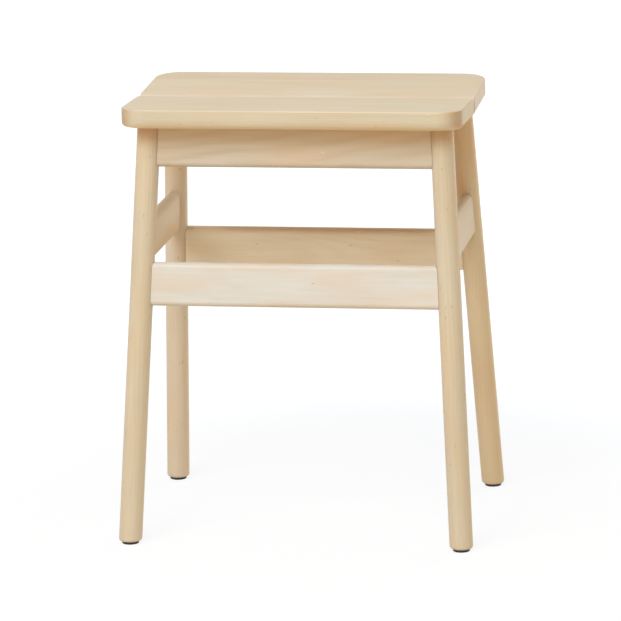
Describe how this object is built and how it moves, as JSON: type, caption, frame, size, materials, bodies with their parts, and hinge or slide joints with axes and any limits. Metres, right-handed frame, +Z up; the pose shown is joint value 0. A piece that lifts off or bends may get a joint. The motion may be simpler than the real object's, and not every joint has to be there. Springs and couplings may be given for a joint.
{
  "type": "stool",
  "caption": "Beech stool: a shallow V seat of boards on splayed round legs, tied by flat aprons and stretchers, with black glides under the feet.",
  "frame": {"origin": "on the floor under the middle of the seat", "axes": "+Z up, +X to the right along the seat boards, +Y to the back; the front faces -Y"},
  "size_m": [0.3674, 0.2778, 0.4498],
  "materials": {
    "seat_beech": "clear satin lacquer, long grain from left to right",
    "leg_beech": "clear satin lacquer, grain along the leg",
    "apron_beech": "clear satin lacquer, grain along the piece",
    "stretcher_beech": "clear satin lacquer, grain along the piece",
    "dowel_beech": "raw",
    "glide_plastic": "matt moulded black",
    "steel": "zinc plated"
  },
  "bodies": {
    "root": {"seat_board_front": "seat_beech", "seat_board_rear": "seat_beech", "leg_front_left": "leg_beech", "leg_front_right": "leg_beech", "leg_rear_left": "leg_beech", "leg_rear_right": "leg_beech", "apron_front": "apron_beech", "apron_rear": "apron_beech", "batten_left": "apron_beech", "batten_right": "apron_beech", "stretcher_front": "stretcher_beech", "stretcher_rear": "stretcher_beech", "stretcher_left": "stretcher_beech", "stretcher_right": "stretcher_beech", "leg_head_dowel_front_left": "dowel_beech", "leg_head_dowel_front_right": "dowel_beech", "leg_head_dowel_rear_left": "dowel_beech", "leg_head_dowel_rear_right": "dowel_beech", "apron_dowel_1": "dowel_beech", "apron_dowel_2": "dowel_beech", "apron_dowel_3": "dowel_beech", "apron_dowel_4": "dowel_beech", "apron_dowel_5": "dowel_beech", "apron_dowel_6": "dowel_beech", "apron_dowel_7": "dowel_beech", "apron_dowel_8": "dowel_beech", "batten_dowel_1": "dowel_beech", "batten_dowel_2": "dowel_beech", "batten_dowel_3": "dowel_beech", "batten_dowel_4": "dowel_beech", "seat_screw_1": "steel", "seat_screw_2": "steel", "seat_screw_3": "steel", "seat_screw_4": "steel", "seat_screw_5": "steel", "seat_screw_6": "steel", "seat_screw_7": "steel", "seat_screw_8": "steel", "foot_glide_front_left": "glide_plastic", "foot_glide_front_right": "glide_plastic", "foot_glide_rear_left": "glide_plastic", "foot_glide_rear_right": "glide_plastic", "glide_nail_front_left": "steel", "glide_nail_front_right": "steel", "glide_nail_rear_left": "steel", "glide_nail_rear_right": "steel"}
  },
  "joints": []
}
